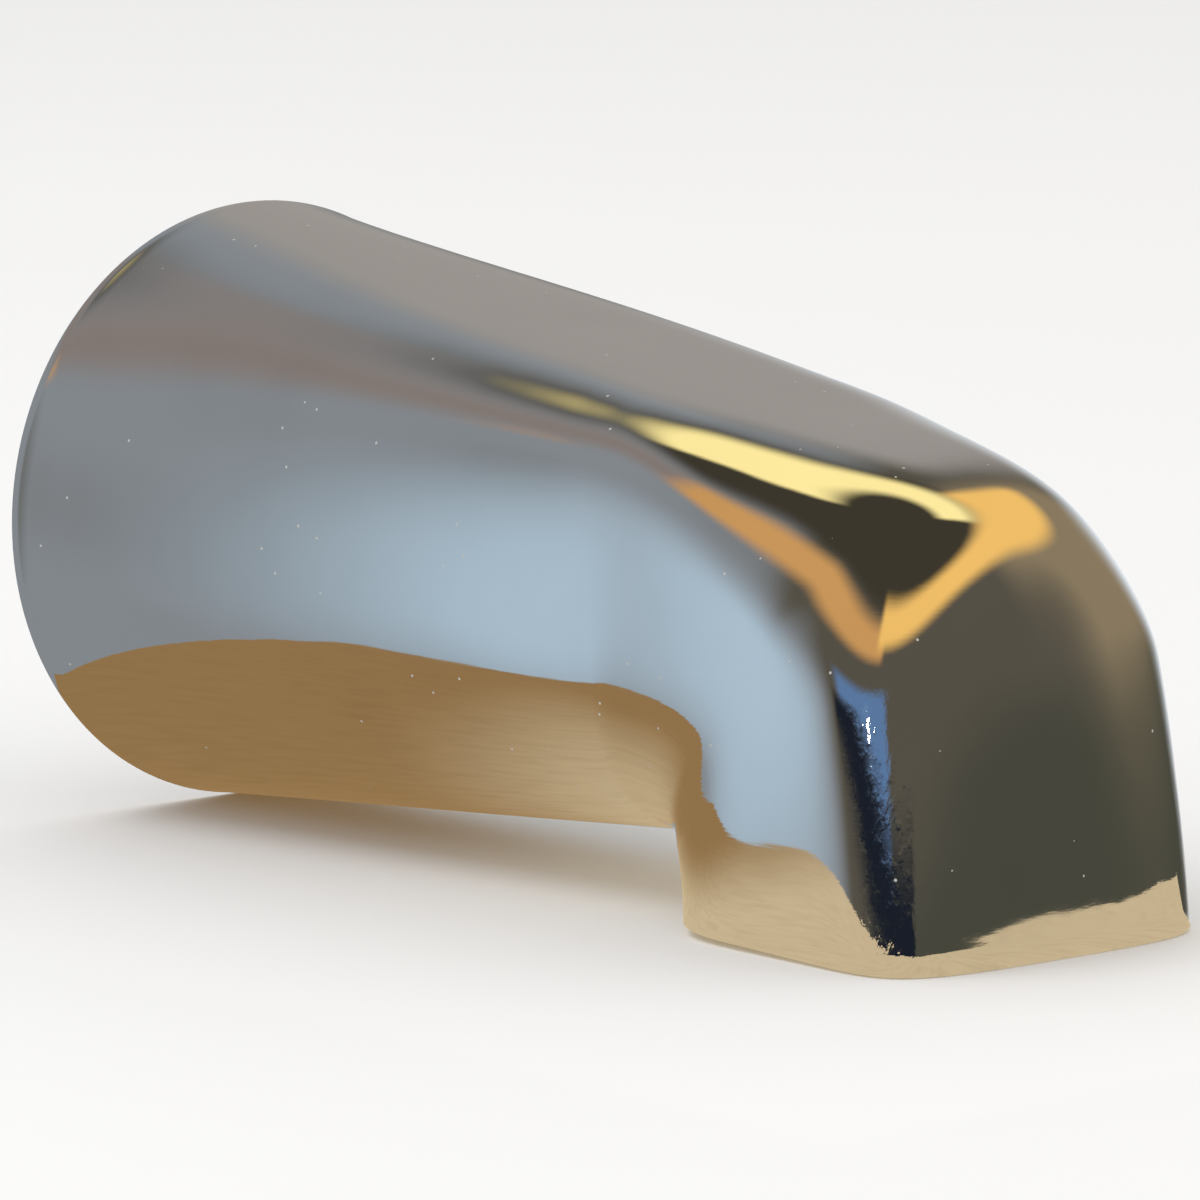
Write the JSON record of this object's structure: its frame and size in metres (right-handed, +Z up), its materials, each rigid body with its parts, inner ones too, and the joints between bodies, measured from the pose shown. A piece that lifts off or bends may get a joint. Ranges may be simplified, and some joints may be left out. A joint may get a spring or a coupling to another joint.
{
  "type": "bath spout",
  "caption": "Hollow chrome bath spout: round wall rim, tapering body, crowned nose turned down to a four-sided outlet, and a threaded brass inlet inside.",
  "frame": {"origin": "centre of the wall rim, where the pipe line meets the wall plane", "axes": "+Y into the wall along the pipe line, -Y towards the nose, +Z up, X across"},
  "size_m": [0.0636, 0.1278, 0.0635],
  "materials": {
    "chrome": "polished plating",
    "brass": "machined"
  },
  "bodies": {
    "root": {"spout_body": "chrome", "inlet_bushing": "brass"}
  },
  "joints": []
}
